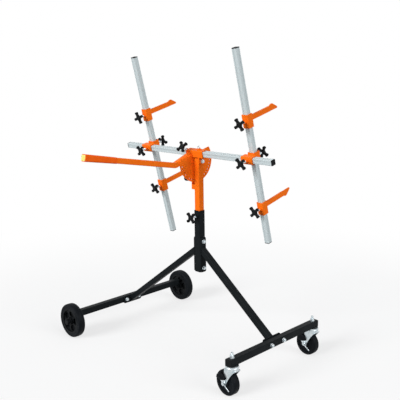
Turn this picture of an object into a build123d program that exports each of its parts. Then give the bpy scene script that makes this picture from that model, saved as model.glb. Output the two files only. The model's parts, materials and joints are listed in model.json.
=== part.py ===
from build123d import *
import os
from math import atan2, cos, degrees, radians, sin, sqrt

# Body panel stand: a trolley base with two casters and two fixed wheels, a telescopic post, a tilting
# head with an index disc, and a panel frame of one cross rail, two uprights and four clamped arms.
# X runs along the legs and the rail, +Y is the side that the arms point to, Z is up.
# The origin is on the floor, under the axis of the mast.

# Driving dimensions in millimetres and degrees, steel tubes of the base
bar_side = 28.0
bar_wall = 2.0
leg_side = 25.0
leg_wall = 2.0
mast_side = 32.0
mast_wall = 1.5
tube_corner = 3.0
inner_corner = 0.8
slide_clearance = 0.5
plate_thickness = 4.0
plate_corner = 7.0

# Front crossbar, rear crossbar and legs
front_bar_x = 408.0
front_bar_length = 528.0
caster_inset = 20.0
rear_bar_x = -485.0
rear_bar_length = 610.0
leg_top_height = 428.0
leg_bolt_spacing = 72.0
foot_plate_length = 104.0
foot_plate_height = 36.0

# Mast and post
mast_bottom = 335.0
mast_length = 266.0
top_plate_length = 151.0
mast_bolt_inset = 18.0
mast_knob_inset = 26.0
post_wall = 2.0
post_rest_gap = 0.3
pivot_height = 808.0
post_above_pivot = 11.0

# Fasteners
bolt_diameter = 8.0
bolt_flats = 13.0
bolt_head_height = 5.3
nut_height = 6.5
washer_diameter = 16.0
washer_thickness = 1.6
bolt_clearance = 0.25
thread_clearance = 0.05
running_clearance = 0.05
thread_tip = 2.5

# End plugs of the tubes
plug_thickness = 2.5
plug_depth = 12.0
plug_clearance = 0.2

# Rear wheels on stub axles
rear_wheel_diameter = 152.0
rear_wheel_width = 34.0
rear_hub_width = 38.0
rear_hub_diameter = 112.0
rear_rim_thickness = 6.0
rear_web_thickness = 20.0
rear_boss_diameter = 34.0
rear_tyre_round = 7.0
hub_openings = 5
hub_opening_angle = 10.0
hub_spoke_margin = 3.0
tyre_fit = 0.05
axle_drop = 24.0
axle_plate_thickness = 5.0
axle_diameter = 10.0
axle_flats = 16.0
axle_head_height = 6.4
axle_nut_height = 8.0
axle_washer_diameter = 20.0
axle_washer_thickness = 2.5
axle_play = 0.5
axle_cap_wall = 2.5
axle_cap_gap = 0.3
axle_cap_round = 2.0

# Swivel casters
caster_wheel_diameter = 100.0
caster_wheel_width = 27.0
caster_hub_width = 30.0
caster_hub_diameter = 30.0
caster_web_thickness = 17.0
caster_rim_thickness = 12.0
caster_wheel_round = 3.0
caster_trail = 22.0
caster_heading = 176.6
caster_play = 1.0
crown_gap = 5.0
crown_thickness = 3.0
cup_diameter = 50.0
cup_height = 12.7
swivel_gap = 0.3
raceway_thickness = 3.0
fork_thickness = 2.5
fork_lead = 24.5
fork_tail = 24.0
fork_back = 22.0
fork_eye_radius = 9.0
fork_sweep = 3.0
stem_diameter = 10.0
stem_head_diameter = 20.0
stem_head_thickness = 3.2
stem_nut_flats = 15.0
stem_nut_height = 9.0
stem_washer_diameter = 18.0
stem_washer_thickness = 2.0
stem_tip = 9.5

# Caster brakes: levers on the axle bolts, with points placed back from the axle and up from it
brake_plate = 2.0
brake_side_gap = 0.3
brake_eye_radius = 8.5
brake_bend_back = 17.0
brake_bend_rise = 8.0
brake_bend_radius = 2.5
brake_tail_back = 38.0
brake_tail_rise = 14.0
brake_tail_radius = 2.0
brake_toe_lead = 24.5
brake_toe_drop = 23.5
brake_toe_radius = 2.0
pedal_heel_back = 0.0
pedal_heel_rise = 20.0
pedal_top_back = 20.0
pedal_top_rise = 31.0
pedal_tip_back = 34.0
pedal_tip_rise = 19.0
pedal_corner = 5.0
pedal_thickness = 4.5

# Tilting head, index disc and plunger
lean = 14.25
rail_rise = 33.5
head_left = -50.0
head_right = 43.0
head_gap = 1.0
ear_thickness = 5.0
ear_radius = 12.0
disc_thickness = 5.0
disc_radius = 90.0
disc_shoulder = 11.5
index_radius = 80.0
index_holes = 20
index_step = 9.5
index_hole_diameter = 7.0
bracket_width = 20.0
bracket_plate = 4.0
bracket_reach = 20.0
bracket_foot = 21.0
bracket_top_margin = 14.0
bracket_below_disc = 10.0
plunger_diameter = 12.0
plunger_front = 3.0
plunger_flats = 17.0
plunger_flange = 6.0
plunger_length = 33.0
plunger_wall = 4.0
plunger_chamber_diameter = 10.0
plunger_chamber_start = 11.0
pin_diameter = 6.0
pin_park_gap = 0.5
pin_travel = 5.0
pin_collar_diameter = 9.0
pin_collar_thickness = 2.0
pin_collar_gap = 1.0
spring_wire = 1.2
pull_knob_diameter = 24.0
pull_knob_length = 14.0
pull_knob_gap = 1.0
pull_knob_round = 4.0

# Handle
handle_side = 22.0
handle_wall = 1.8
handle_root_rise = 28.6
handle_bend_out = 105.0
handle_bend_rise = 16.4
handle_end_out = 510.0
handle_end_rise = 200.8
handle_bend_radius = 30.0
grip_length = 143.0
grip_inner_side = 24.0
grip_outer_side = 27.0
grip_corner = 6.0
grip_fit = 0.1

# Aluminium rail and uprights
rail_side = 22.0
rail_wall = 1.8
rail_corner = 2.5
groove_width = 7.0
groove_depth = 0.6
rail_left = -436.0
rail_right = 398.0
left_upright_length = 810.0
right_upright_length = 785.0
left_upright_x = -303.0
right_upright_x = 281.0
left_upright_top = 391.0
right_upright_top = 419.0

# Sleeves, arms and clamp knobs
sleeve_wall = 3.5
cross_sleeve_length = 56.0
upright_sleeve_side = 34.0
upright_sleeve_wall = 3.0
upright_sleeve_height = 42.0
arm_sleeve_height = 52.0
finger_thickness = 8.0
finger_height = 20.0
finger_rise = 6.0
finger_length = 160.5
tip_length = 45.0
tip_thickness = 5.0
tip_height = 25.0
tip_flare = 12.0
tip_bevel = 25.0
tip_end_height = 6.0
tip_round = 2.5
arm_heights = {"upper_left": 141.0, "lower_left": -190.0, "upper_right": 145.0, "lower_right": -214.0}
boss_diameter = 15.0
boss_height = 7.0
screw_diameter = 8.0
screw_tip_gap = 0.2
knob_standoff = 28.0
knob_diameter = 52.0
knob_lobe_width = 10.0
knob_hub_diameter = 21.0
knob_thickness = 13.0
knob_edge = 2.0
knob_blend = 3.5
set_screw_x = 15.0
set_screw_length = 21.0
head_knob_x = -40.0

# Worked out from the driving dimensions
axle_height = rear_wheel_diameter / 2
rear_bar_height = axle_height + axle_drop
caster_axle_height = caster_wheel_diameter / 2
caster_spacing = front_bar_length - 2 * caster_inset
crown_bottom = caster_wheel_diameter + crown_gap
crown_top = crown_bottom + crown_thickness
cup_top = crown_top + cup_height
raceway_bottom = cup_top + swivel_gap
front_bar_bottom = raceway_bottom + raceway_thickness
front_bar_height = front_bar_bottom + bar_side / 2
mast_top = mast_bottom + mast_length
mast_bolt_heights = (mast_bottom + mast_bolt_inset, mast_bottom + top_plate_length - mast_bolt_inset)
post_side = mast_side - 2 * mast_wall - 2 * slide_clearance
post_bottom = mast_bolt_heights[1] + bolt_diameter / 2 + post_rest_gap
sleeve_side = rail_side + 2 * slide_clearance + 2 * sleeve_wall
upright_sleeve_n = sleeve_side / 2 + upright_sleeve_side / 2
upright_n = sleeve_side / 2 + upright_sleeve_wall + slide_clearance + rail_side / 2
disc_top = rail_rise - sleeve_side / 2
disc_face = post_side / 2 + head_gap
plunger_height = pivot_height - index_radius
bolt_hole = bolt_diameter / 2 + bolt_clearance
pivot_hole = bolt_diameter / 2 + running_clearance

# Frames: the head turns about the pivot bolt and leans back at rest, the rail lies above the pivot
head = Plane(origin=(0, 0, pivot_height)).rotated((lean, 0, 0))
rail = head.offset(rail_rise)
floor = Plane.XY

os.makedirs("parts", exist_ok=True)


def shifted(frame, side, x=0.0, y=0.0, z=0.0):
    """The plane `side` of a frame, moved along the frame's own axes."""
    return Plane(frame.location * Location((x, y, z)) * side.location)


def write(piece, name):
    """Label a finished piece and write it under its own name."""
    piece.part.label = name
    export_step(piece.part, f"parts/{name}.step")


def tube_section(side, wall, corner):
    """Square tube section with rounded corners."""
    inside = side - 2 * wall
    RectangleRounded(side, side, corner)
    RectangleRounded(inside, inside, max(corner - wall, inner_corner), mode=Mode.SUBTRACT)


def rail_section():
    """Aluminium square tube with a shallow groove along each face."""
    tube_section(rail_side, rail_wall, rail_corner)
    with PolarLocations(rail_side / 2, 4):
        Rectangle(2 * groove_depth, groove_width, mode=Mode.SUBTRACT)


def end_plug(face, side, wall, corner):
    """Moulded plug: a flange on the tube's end face and a core inside its bore."""
    core_side = side - 2 * wall - 2 * plug_clearance
    with BuildSketch(face) as flange:
        RectangleRounded(side, side, corner)
    extrude(flange.sketch, amount=plug_thickness)
    with BuildSketch(face) as core:
        RectangleRounded(core_side, core_side, max(corner - wall, inner_corner))
    extrude(core.sketch, amount=-plug_depth)


def hex_bolt(seat, grip):
    """Bolt with a washer under its head on the plane `seat`, and a nut with a washer past the grip."""
    with BuildSketch(seat) as head_washer:
        Circle(washer_diameter / 2)
    extrude(head_washer.sketch, amount=washer_thickness)
    with BuildSketch(seat.offset(washer_thickness)) as bolt_head:
        RegularPolygon(bolt_flats / 2, 6, major_radius=False)
    extrude(bolt_head.sketch, amount=bolt_head_height)
    with BuildSketch(seat) as shank:
        Circle(bolt_diameter / 2)
    extrude(shank.sketch, amount=-(grip + washer_thickness + nut_height + thread_tip))
    with BuildSketch(seat.offset(-grip)) as nut_washer:
        Circle(washer_diameter / 2)
        Circle(bolt_diameter / 2 + thread_clearance, mode=Mode.SUBTRACT)
    extrude(nut_washer.sketch, amount=-washer_thickness)
    with BuildSketch(seat.offset(-grip - washer_thickness)) as nut:
        RegularPolygon(bolt_flats / 2, 6, major_radius=False)
        Circle(bolt_diameter / 2 + thread_clearance, mode=Mode.SUBTRACT)
    extrude(nut.sketch, amount=-nut_height)


def knob_boss(face, depth, root=0.0):
    """Weld nut on the plane `face`, drilled through the wall below it."""
    with BuildSketch(face.offset(-root)) as boss:
        Circle(boss_diameter / 2)
    extrude(boss.sketch, amount=root + boss_height)
    with BuildSketch(face.offset(boss_height)) as thread:
        Circle(screw_diameter / 2 + running_clearance)
    extrude(thread.sketch, amount=-(boss_height + depth), mode=Mode.SUBTRACT)


def clamp_knob(name, face, depth, turn):
    """Four-lobed knob moulded on a clamping screw whose tip stops just short of the tube."""
    with BuildPart() as knob:
        with BuildSketch(face.offset(knob_standoff)) as star:
            SlotOverall(knob_diameter, knob_lobe_width, rotation=turn)
            SlotOverall(knob_diameter, knob_lobe_width, rotation=turn + 90)
            Circle(knob_hub_diameter / 2)
            between_lobes = star.vertices().group_by(lambda corner: round(corner.center().length, 3))[0]
            fillet(between_lobes, knob_blend)
        extrude(amount=knob_thickness)
        ends = knob.faces().filter_by(Axis(face.origin, face.z_dir))
        fillet(ends.edges(), knob_edge)
        with BuildSketch(face.offset(screw_tip_gap - depth)):
            Circle(screw_diameter / 2)
        extrude(amount=depth - screw_tip_gap + knob_standoff + knob_edge)
    write(knob, name)


# Front crossbar: square tube drilled for the caster stems and for the bolts of the front leg
with BuildPart() as front_crossbar:
    with BuildSketch(shifted(floor, Plane.XZ, front_bar_x, 0, front_bar_height)):
        tube_section(bar_side, bar_wall, tube_corner)
    extrude(amount=front_bar_length / 2, both=True)
    with BuildSketch(shifted(floor, Plane.XY, front_bar_x, 0, front_bar_height)):
        with GridLocations(0, caster_spacing, 1, 2):
            Circle(stem_diameter / 2 + bolt_clearance)
    extrude(amount=bar_side, both=True, mode=Mode.SUBTRACT)
    with BuildSketch(shifted(floor, Plane.YZ, front_bar_x, 0, front_bar_height)):
        with GridLocations(leg_bolt_spacing, 0, 2, 1):
            Circle(bolt_hole)
    extrude(amount=bar_side, both=True, mode=Mode.SUBTRACT)
write(front_crossbar, "front_crossbar")

# Rear crossbar: square tube with a welded plate at each end that carries an axle below the tube
with BuildPart() as rear_crossbar:
    with BuildSketch(shifted(floor, Plane.XZ, rear_bar_x, 0, rear_bar_height)):
        tube_section(bar_side, bar_wall, tube_corner)
    extrude(amount=rear_bar_length / 2, both=True)
    axle_plates = [
        shifted(floor, Plane.XZ, rear_bar_x, -rear_bar_length / 2, axle_height),
        shifted(floor, Plane.XZ, rear_bar_x, rear_bar_length / 2 + axle_plate_thickness, axle_height),
    ]
    with BuildSketch(*axle_plates):
        Circle(bar_side / 2)
        with Locations((0, (axle_drop + bar_side / 2) / 2)):
            Rectangle(bar_side, axle_drop + bar_side / 2)
        Circle(axle_diameter / 2 + bolt_clearance, mode=Mode.SUBTRACT)
    extrude(amount=axle_plate_thickness)
    with BuildSketch(shifted(floor, Plane.YZ, rear_bar_x, 0, rear_bar_height)):
        with GridLocations(leg_bolt_spacing, 0, 2, 1):
            Circle(bolt_hole)
    extrude(amount=bar_side, both=True, mode=Mode.SUBTRACT)
write(rear_crossbar, "rear_crossbar")


def sloping_leg(name, side, bar_x, bar_height):
    """Sloping tube with a plate on the mast's face at its top and a plate on the crossbar at its foot."""
    plate_x = side * mast_side / 2
    top_x = plate_x + side * plate_thickness
    foot_x = bar_x - side * (bar_side / 2 + plate_thickness)
    start = Vector(top_x, 0, leg_top_height)
    end = Vector(foot_x, 0, bar_height)
    run = end - start
    toward, away = (Keep.TOP, Keep.BOTTOM) if side > 0 else (Keep.BOTTOM, Keep.TOP)
    with BuildPart() as leg:
        with BuildSketch(Plane(origin=start + run * 0.5, x_dir=(0, 1, 0), z_dir=run)):
            tube_section(leg_side, leg_wall, tube_corner)
        extrude(amount=run.length / 2 + leg_side, both=True)
        split(bisect_by=Plane.YZ.offset(top_x), keep=toward)
        split(bisect_by=Plane.YZ.offset(foot_x), keep=away)
        with BuildSketch(Plane.YZ.offset(plate_x)):
            with Locations((0, mast_bottom + top_plate_length / 2)):
                RectangleRounded(mast_side, top_plate_length, plate_corner)
            with Locations(*[(0, height) for height in mast_bolt_heights]):
                Circle(bolt_hole, mode=Mode.SUBTRACT)
        extrude(amount=side * plate_thickness)
        with BuildSketch(Plane.YZ.offset(foot_x)):
            with Locations((0, bar_height)):
                RectangleRounded(foot_plate_length, foot_plate_height, plate_corner)
                with GridLocations(leg_bolt_spacing, 0, 2, 1):
                    Circle(bolt_hole, mode=Mode.SUBTRACT)
        extrude(amount=side * plate_thickness)
    write(leg, name)


sloping_leg("front_leg", 1, front_bar_x, front_bar_height)
sloping_leg("rear_leg", -1, rear_bar_x, rear_bar_height)

# Mast: square tube between the leg plates, with a weld nut near its top for the post's clamp knob
mast_knob_face = shifted(floor, Plane.XZ, 0, -mast_side / 2, mast_top - mast_knob_inset)
with BuildPart() as mast_tube:
    with BuildSketch(floor.offset(mast_bottom)):
        tube_section(mast_side, mast_wall, tube_corner)
    extrude(amount=mast_length)
    with BuildSketch(Plane.YZ):
        with Locations(*[(0, height) for height in mast_bolt_heights]):
            Circle(bolt_hole)
    extrude(amount=mast_side, both=True, mode=Mode.SUBTRACT)
    knob_boss(mast_knob_face, mast_wall + slide_clearance)
write(mast_tube, "mast_tube")
clamp_knob("mast_knob", mast_knob_face, mast_wall + slide_clearance, 45)

# Through bolts of the mast, heads on the rear plate and nuts on the front one
with BuildPart() as mast_bolts:
    for height in mast_bolt_heights:
        plates = mast_side / 2 + plate_thickness
        hex_bolt(shifted(floor, Plane.ZY, -plates, 0, height), 2 * plates)
write(mast_bolts, "mast_bolts")

# Bolts through each leg's foot plate and its crossbar, nuts on the far face of the tube
with BuildPart() as leg_bolts:
    for y in (leg_bolt_spacing / 2, -leg_bolt_spacing / 2):
        front_seat = front_bar_x - bar_side / 2 - plate_thickness
        rear_seat = rear_bar_x + bar_side / 2 + plate_thickness
        hex_bolt(shifted(floor, Plane.ZY, front_seat, y, front_bar_height), plate_thickness + bar_side)
        hex_bolt(shifted(floor, Plane.YZ, rear_seat, y, rear_bar_height), plate_thickness + bar_side)
write(leg_bolts, "leg_bolts")

# Plugs in the open ends of the front crossbar
with BuildPart() as tube_plugs:
    for side, y in ((Plane.ZX, front_bar_length / 2), (Plane.XZ, -front_bar_length / 2)):
        end_plug(shifted(floor, side, front_bar_x, y, front_bar_height), bar_side, bar_wall, tube_corner)
write(tube_plugs, "tube_plugs")

# Rear wheels: a tyre on a spoked hub, turning on a bolt through the axle plate
plate_face = rear_bar_length / 2 + axle_plate_thickness
rear_wheel_y = plate_face + axle_washer_thickness + axle_play + rear_hub_width / 2
grip = axle_plate_thickness + axle_washer_thickness + 2 * axle_play + rear_hub_width
axle_length = grip + axle_washer_thickness + axle_nut_height + thread_tip
axles = [
    shifted(floor, Plane.ZX, rear_bar_x, rear_bar_length / 2, axle_height),
    shifted(floor, Plane.XZ, rear_bar_x, -rear_bar_length / 2, axle_height),
]
with BuildPart() as rear_axle_bolts:
    for axle in axles:
        with BuildSketch(axle):
            RegularPolygon(axle_flats / 2, 6, major_radius=False)
        extrude(amount=-axle_head_height)
        with BuildSketch(axle):
            Circle(axle_diameter / 2)
        extrude(amount=axle_length)
        with BuildSketch(axle.offset(axle_plate_thickness), axle.offset(grip)):
            Circle(axle_washer_diameter / 2)
            Circle(axle_diameter / 2 + thread_clearance, mode=Mode.SUBTRACT)
        extrude(amount=axle_washer_thickness)
        with BuildSketch(axle.offset(grip + axle_washer_thickness)):
            RegularPolygon(axle_flats / 2, 6, major_radius=False)
            Circle(axle_diameter / 2 + thread_clearance, mode=Mode.SUBTRACT)
        extrude(amount=axle_nut_height)
write(rear_axle_bolts, "rear_axle_bolts")

# Axle caps: moulded cups pushed over the outer washers and nuts of the axles
cap_start = grip + axle_cap_gap
cap_inner = axle_washer_diameter / 2 + thread_clearance
with BuildPart() as rear_axle_caps:
    for axle in axles:
        with BuildSketch(axle.offset(cap_start)):
            Circle(cap_inner + axle_cap_wall)
        extrude(amount=axle_length + axle_cap_gap + axle_cap_wall - cap_start)
        with BuildSketch(axle.offset(cap_start)):
            Circle(cap_inner)
        extrude(amount=axle_length + axle_cap_gap - cap_start, mode=Mode.SUBTRACT)
    cap_ends = rear_axle_caps.edges().group_by(Axis.Y)
    fillet(cap_ends[0] + cap_ends[-1], axle_cap_round)
write(rear_axle_caps, "rear_axle_caps")


def rear_wheel(name, side):
    """Solid rubber tyre pressed on a moulded hub with a ring of curved openings through its web."""
    centre = shifted(floor, Plane.XZ, rear_bar_x, side * rear_wheel_y, axle_height)
    hub_radius = rear_hub_diameter / 2
    with BuildPart() as tyre:
        with BuildSketch(centre):
            Circle(rear_wheel_diameter / 2)
            Circle(hub_radius + tyre_fit, mode=Mode.SUBTRACT)
        extrude(amount=rear_wheel_width / 2, both=True)
        fillet(tyre.edges().filter_by(GeomType.CIRCLE).group_by(SortBy.RADIUS)[-1], rear_tyre_round)
    write(tyre, f"rear_{name}_tyre")

    web_radius = hub_radius - rear_rim_thickness
    opening_radius = (web_radius + rear_boss_diameter / 2) / 2
    opening_width = web_radius - rear_boss_diameter / 2 - 2 * hub_spoke_margin
    opening = Edge.make_circle(opening_radius, end_angle=hub_opening_angle)
    with BuildPart() as hub:
        with BuildSketch(centre):
            Circle(hub_radius)
            Circle(web_radius, mode=Mode.SUBTRACT)
        extrude(amount=rear_wheel_width / 2, both=True)
        with BuildSketch(centre):
            Circle(web_radius)
        extrude(amount=rear_web_thickness / 2, both=True)
        with BuildSketch(centre):
            Circle(rear_boss_diameter / 2)
        extrude(amount=rear_hub_width / 2, both=True)
        with BuildSketch(centre):
            with PolarLocations(0, hub_openings):
                SlotArc(opening, opening_width)
        extrude(amount=rear_wheel_width, both=True, mode=Mode.SUBTRACT)
        with BuildSketch(centre):
            Circle(axle_diameter / 2 + running_clearance)
        extrude(amount=rear_hub_width, both=True, mode=Mode.SUBTRACT)
    write(hub, f"rear_{name}_hub")


rear_wheel("left", -1)
rear_wheel("right", 1)


# Swivel casters: stems fixed in the front crossbar, and a fork, wheel and brake that swivel below each
caster_frames = {}
for name, side in (("left", -1), ("right", 1)):
    stem_axis = shifted(floor, Plane.XY, front_bar_x, side * caster_spacing / 2)
    caster_frames[name] = stem_axis.rotated((0, 0, caster_heading))

stem_bottom = crown_bottom - swivel_gap - stem_head_thickness
bar_top = front_bar_bottom + bar_side
stem_nut_top = bar_top + stem_washer_thickness + stem_nut_height
with BuildPart() as caster_stems:
    for caster in caster_frames.values():
        with BuildSketch(caster.offset(raceway_bottom)):
            Circle(cup_diameter / 2)
        extrude(amount=raceway_thickness)
        with BuildSketch(caster.offset(stem_bottom)):
            Circle(stem_diameter / 2)
        extrude(amount=stem_nut_top + stem_tip - stem_bottom)
        with BuildSketch(caster.offset(stem_bottom)):
            Circle(stem_head_diameter / 2)
        extrude(amount=stem_head_thickness)
write(caster_stems, "caster_stems")

with BuildPart() as caster_stem_nuts:
    for caster in caster_frames.values():
        with BuildSketch(caster.offset(bar_top)):
            Circle(stem_washer_diameter / 2)
            Circle(stem_diameter / 2 + thread_clearance, mode=Mode.SUBTRACT)
        extrude(amount=stem_washer_thickness)
        with BuildSketch(caster.offset(bar_top + stem_washer_thickness)):
            RegularPolygon(stem_nut_flats / 2, 6, major_radius=False)
            Circle(stem_diameter / 2 + thread_clearance, mode=Mode.SUBTRACT)
        extrude(amount=stem_nut_height)
write(caster_stem_nuts, "caster_stem_nuts")

fork_inner = caster_hub_width / 2 + caster_play
fork_outer = fork_inner + fork_thickness
lever_outer = fork_outer + brake_side_gap + brake_plate
axle_seat = lever_outer + brake_side_gap
axle_point = Vector(caster_trail, caster_axle_height)
brake_bend = axle_point + Vector(brake_bend_back, brake_bend_rise)
brake_tail = axle_point + Vector(brake_tail_back, brake_tail_rise)
brake_toe = axle_point + Vector(-brake_toe_lead, -brake_toe_drop)
pedal_heel = axle_point + Vector(pedal_heel_back, pedal_heel_rise)
pedal_top = axle_point + Vector(pedal_top_back, pedal_top_rise)
pedal_tip = axle_point + Vector(pedal_tip_back, pedal_tip_rise)


def swivel_caster(name, caster):
    """Pressed fork with a ball cup, a solid wheel on an axle bolt, and a brake lever beside the fork."""
    middle = shifted(caster, Plane.XZ)
    with BuildPart() as fork:
        with BuildSketch(caster.offset(crown_bottom)):
            Circle(cup_diameter / 2)
            with Locations(((fork_tail - fork_lead) / 2, 0)):
                Rectangle(fork_tail + fork_lead, 2 * fork_outer)
        extrude(amount=crown_thickness)
        with BuildSketch(caster.offset(crown_top)):
            Circle(cup_diameter / 2)
        extrude(amount=cup_height)
        with BuildSketch(middle.offset(-fork_outer), middle.offset(fork_inner)):
            with BuildLine():
                top = Line((-fork_lead, crown_bottom), (fork_tail, crown_bottom))
                back = Line(top @ 1, (fork_tail, crown_bottom - fork_back))
                lower = Line(back @ 1, (caster_trail + fork_eye_radius, caster_axle_height))
                eye_bottom = (caster_trail, caster_axle_height - fork_eye_radius)
                eye_front = (caster_trail - fork_eye_radius, caster_axle_height)
                ThreePointArc(lower @ 1, eye_bottom, eye_front)
                SagittaArc(eye_front, top @ 0, -fork_sweep)
            make_face()
            with Locations(axle_point):
                Circle(bolt_hole, mode=Mode.SUBTRACT)
        extrude(amount=fork_thickness)
        with BuildSketch(caster.offset(crown_bottom)):
            Circle(stem_diameter / 2 + running_clearance)
        extrude(amount=crown_thickness + cup_height, mode=Mode.SUBTRACT)
    write(fork, f"{name}_caster_fork")

    with BuildPart() as axle:
        seat = shifted(caster, Plane.ZX, caster_trail, axle_seat, caster_axle_height)
        hex_bolt(seat, axle_seat + fork_outer)
    write(axle, f"{name}_caster_axle")

    wheel_radius = caster_wheel_diameter / 2
    web_radius = wheel_radius - caster_rim_thickness
    centre = shifted(caster, Plane.XZ, caster_trail, 0, caster_axle_height)
    with BuildPart() as wheel:
        with BuildSketch(centre):
            Circle(wheel_radius)
        extrude(amount=caster_wheel_width / 2, both=True)
        tread_edges = wheel.edges().filter_by(GeomType.CIRCLE)
        fillet(tread_edges, caster_wheel_round)
        with BuildSketch(centre.offset(caster_web_thickness / 2), centre.offset(-caster_wheel_width / 2)):
            Circle(web_radius)
        extrude(amount=(caster_wheel_width - caster_web_thickness) / 2, mode=Mode.SUBTRACT)
        with BuildSketch(centre):
            Circle(caster_hub_diameter / 2)
        extrude(amount=caster_hub_width / 2, both=True)
        with BuildSketch(centre):
            Circle(bolt_diameter / 2 + running_clearance)
        extrude(amount=caster_hub_width, both=True, mode=Mode.SUBTRACT)
    write(wheel, f"{name}_caster_wheel")

    lever_face = middle.offset(-lever_outer)
    with BuildPart() as brake:
        with BuildSketch(lever_face):
            with Locations(axle_point):
                Circle(brake_eye_radius)
            with Locations(brake_bend):
                Circle(brake_bend_radius)
            make_hull()
        extrude(amount=brake_plate)
        with BuildSketch(lever_face):
            with Locations(brake_bend):
                Circle(brake_bend_radius)
            with Locations(brake_tail):
                Circle(brake_tail_radius)
            make_hull()
        extrude(amount=brake_plate)
        with BuildSketch(lever_face):
            with Locations(axle_point):
                Circle(brake_eye_radius)
            with Locations(brake_toe):
                Circle(brake_toe_radius)
            make_hull()
        extrude(amount=brake_plate)
        for reach in (brake_plate, -pedal_thickness):
            with BuildSketch(lever_face):
                with Locations(pedal_heel, pedal_top, pedal_tip):
                    Circle(pedal_corner)
                make_hull()
            extrude(amount=reach)
        with BuildSketch(lever_face):
            with Locations(axle_point):
                Circle(bolt_diameter / 2 + running_clearance)
        extrude(amount=brake_plate, mode=Mode.SUBTRACT)
    write(brake, f"{name}_caster_brake")


for name, caster in caster_frames.items():
    swivel_caster(name, caster)

# Upper post: square tube that slides in the mast and carries the pivot bolt near its top
with BuildPart() as upper_post:
    with BuildSketch(floor.offset(post_bottom)):
        tube_section(post_side, post_wall, tube_corner)
    extrude(amount=pivot_height + post_above_pivot - post_bottom)
    with BuildSketch(Plane.YZ):
        with Locations((0, pivot_height)):
            Circle(bolt_hole)
    extrude(amount=post_side, both=True, mode=Mode.SUBTRACT)
write(upper_post, "upper_post")

# Pivot bolt: clamps the ear, the post and the index disc together
ear_face = post_side / 2 + head_gap + ear_thickness
disc_back = disc_face + disc_thickness
with BuildPart() as pivot_bolt:
    hex_bolt(shifted(floor, Plane.YZ, ear_face, 0, pivot_height), ear_face + disc_back)
    with BuildSketch(Plane.YZ.offset(post_side / 2), Plane.YZ.offset(-disc_face)):
        with Locations((0, pivot_height)):
            Circle(washer_diameter / 2)
            Circle(bolt_diameter / 2 + thread_clearance, mode=Mode.SUBTRACT)
    extrude(amount=head_gap)
write(pivot_bolt, "pivot_bolt")

# Index bracket: bent block on the post whose plate holds the plunger in line with the ring of holes
bracket_x = -post_side / 2
bracket_out = bracket_x - bracket_reach
bracket_foot_top = pivot_height - disc_radius - bracket_below_disc
bracket_top = plunger_height + bracket_top_margin
with BuildPart() as index_bracket:
    with BuildSketch(Plane.XZ):
        with BuildLine():
            Polyline(
                (bracket_x, bracket_foot_top - bracket_foot),
                (bracket_out, bracket_foot_top - bracket_foot),
                (bracket_out, bracket_top),
                (bracket_out + bracket_plate, bracket_top),
                (bracket_out + bracket_plate, bracket_foot_top),
                (bracket_x, bracket_foot_top),
                close=True,
            )
        make_face()
    extrude(amount=bracket_width / 2, both=True)
    with BuildSketch(Plane.YZ.offset(bracket_out)):
        with Locations((0, plunger_height)):
            Circle(plunger_diameter / 2 + thread_clearance)
    extrude(amount=bracket_plate, mode=Mode.SUBTRACT)
write(index_bracket, "index_bracket")

# Index plunger: a hexagon body screwed into the bracket, a sprung pin and a pull knob on the pin's tail
plunger_nose = bracket_out + bracket_plate + plunger_front
plunger_tail = plunger_nose - plunger_length
chamber_front = plunger_nose - plunger_chamber_start
chamber_back = plunger_tail + plunger_wall
with BuildPart() as plunger_body:
    with BuildSketch(shifted(floor, Plane.YZ, plunger_tail, 0, plunger_height)):
        Circle(plunger_diameter / 2)
    extrude(amount=plunger_length)
    with BuildSketch(shifted(floor, Plane.YZ, bracket_out - plunger_flange, 0, plunger_height)):
        RegularPolygon(plunger_flats / 2, 6, major_radius=False)
    extrude(amount=plunger_flange)
    with BuildSketch(shifted(floor, Plane.YZ, chamber_back, 0, plunger_height)):
        Circle(plunger_chamber_diameter / 2)
    extrude(amount=chamber_front - chamber_back, mode=Mode.SUBTRACT)
    with BuildSketch(shifted(floor, Plane.YZ, plunger_tail, 0, plunger_height)):
        Circle(pin_diameter / 2 + running_clearance)
    extrude(amount=plunger_length, mode=Mode.SUBTRACT)
write(plunger_body, "plunger_body")

pin_tip = -disc_back - pin_park_gap
collar_front = chamber_front - pin_travel - pin_collar_gap
pull_knob_front = plunger_tail - pin_travel - pull_knob_gap
with BuildPart() as index_pin:
    with BuildSketch(shifted(floor, Plane.YZ, pin_tip, 0, plunger_height)):
        Circle(pin_diameter / 2)
    extrude(amount=pull_knob_front - pull_knob_length / 2 - pin_tip)
    with BuildSketch(shifted(floor, Plane.YZ, collar_front, 0, plunger_height)):
        Circle(pin_collar_diameter / 2)
    extrude(amount=-pin_collar_thickness)
write(index_pin, "index_pin")

with BuildPart() as index_pin_knob:
    with BuildSketch(shifted(floor, Plane.YZ, pull_knob_front, 0, plunger_height)):
        Circle(pull_knob_diameter / 2)
    extrude(amount=-pull_knob_length)
    fillet(index_pin_knob.edges().filter_by(GeomType.CIRCLE), pull_knob_round)
    with BuildSketch(shifted(floor, Plane.YZ, pull_knob_front, 0, plunger_height)):
        Circle(pin_diameter / 2 + thread_clearance)
    extrude(amount=-pull_knob_length / 2, mode=Mode.SUBTRACT)
write(index_pin_knob, "index_pin_knob")

spring_front = collar_front - pin_collar_thickness
with BuildPart() as index_spring:
    with BuildSketch(shifted(floor, Plane.YZ, chamber_back, 0, plunger_height)):
        Circle(pin_collar_diameter / 2)
        Circle(pin_collar_diameter / 2 - spring_wire, mode=Mode.SUBTRACT)
    extrude(amount=spring_front - chamber_back)
write(index_spring, "index_spring")

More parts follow.
